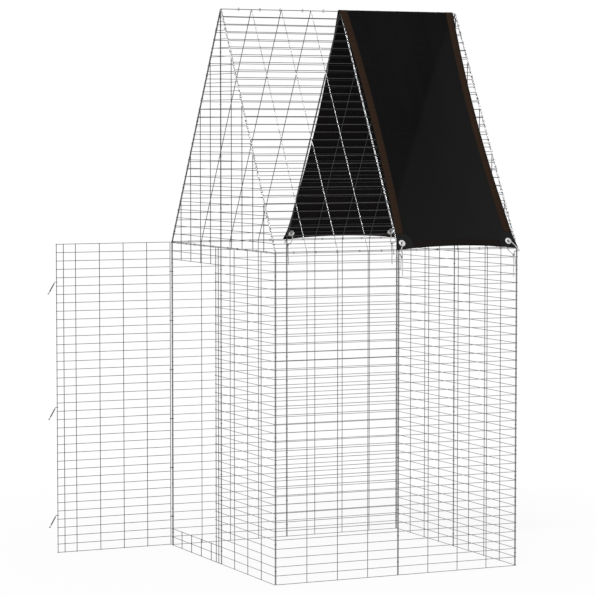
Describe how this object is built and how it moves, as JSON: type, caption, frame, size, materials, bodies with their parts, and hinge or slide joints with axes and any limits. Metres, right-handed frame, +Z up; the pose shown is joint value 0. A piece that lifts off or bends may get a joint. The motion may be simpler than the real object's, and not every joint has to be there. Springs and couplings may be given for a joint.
{
  "type": "rabbit cage",
  "caption": "Tall wire-mesh rabbit run with a steep gabled roof, a hooked mesh door and a dark cover sheet tied over one half of the roof.",
  "frame": {"origin": "middle of the footprint on the ground, with the door standing open", "axes": "+Z up, +X along the front wall away from the door, +Y from the front wall to the back wall"},
  "size_m": [1.644, 1.0986, 2.2704],
  "materials": {
    "mesh_wire": "galvanised, dull",
    "clip_wire": "galvanised",
    "hook_wire": "galvanised",
    "tarp": "coated woven sheet",
    "hem": "woven band, stitched",
    "eyelet": "pressed, satin",
    "cord": "twisted cord"
  },
  "bodies": {
    "run": {"corner_clips": "clip_wire", "door_frame": "mesh_wire", "door_hinge_rings": "clip_wire", "eaves_clips": "clip_wire", "eyelet_back_left": "eyelet", "eyelet_back_right": "eyelet", "eyelet_front_left": "eyelet", "eyelet_front_right": "eyelet", "gable_clips": "clip_wire", "gable_joint_clips": "clip_wire", "gable_left_back": "mesh_wire", "gable_left_front": "mesh_wire", "gable_right_back": "mesh_wire", "gable_right_front": "mesh_wire", "ridge_clips": "clip_wire", "roof_back_left": "mesh_wire", "roof_back_right": "mesh_wire", "roof_front_left": "mesh_wire", "roof_front_right": "mesh_wire", "roof_joint_clips": "clip_wire", "tarp_hem_left": "hem", "tarp_hem_right": "hem", "tarp_sheet": "tarp", "tie_knot_back_left": "cord", "tie_knot_back_right": "cord", "tie_knot_front_left": "cord", "tie_knot_front_right": "cord", "tie_long_tail_back_left": "cord", "tie_long_tail_back_right": "cord", "tie_long_tail_front_left": "cord", "tie_long_tail_front_right": "cord", "tie_loop_back_left": "cord", "tie_loop_back_right": "cord", "tie_loop_front_left": "cord", "tie_loop_front_right": "cord", "tie_short_tail_back_left": "cord", "tie_short_tail_back_right": "cord", "tie_short_tail_front_left": "cord", "tie_short_tail_front_right": "cord", "verge_clips": "clip_wire", "wall_back_left": "mesh_wire", "wall_back_right": "mesh_wire", "wall_front_left": "mesh_wire", "wall_front_right": "mesh_wire", "wall_joint_clips": "clip_wire", "wall_left_front": "mesh_wire", "wall_right_back": "mesh_wire", "wall_right_front": "mesh_wire"},
    "door": {"door_leaf": "mesh_wire"},
    "hook_top": {"door_hook_top": "hook_wire"},
    "hook_middle": {"door_hook_middle": "hook_wire"},
    "hook_bottom": {"door_hook_bottom": "hook_wire"}
  },
  "joints": [
    {"name": "door_swing", "type": "hinge", "parent": "run", "child": "door", "pos_m": [-0.26925, 0.53276, 0], "axis": [0, 0, 1], "range_deg": [-90, 90]},
    {"name": "hook_top_swing", "type": "hinge", "parent": "door", "child": "hook_top", "pos_m": [-0.77925, 0.53276, 1.1407], "axis": [0, 0, -1], "range_deg": [0, 100]},
    {"name": "hook_middle_swing", "type": "hinge", "parent": "door", "child": "hook_middle", "pos_m": [-0.77925, 0.53276, 0.6157], "axis": [0, 0, -1], "range_deg": [0, 100]},
    {"name": "hook_bottom_swing", "type": "hinge", "parent": "door", "child": "hook_bottom", "pos_m": [-0.77925, 0.53276, 0.1607], "axis": [0, 0, -1], "range_deg": [0, 100]}
  ]
}
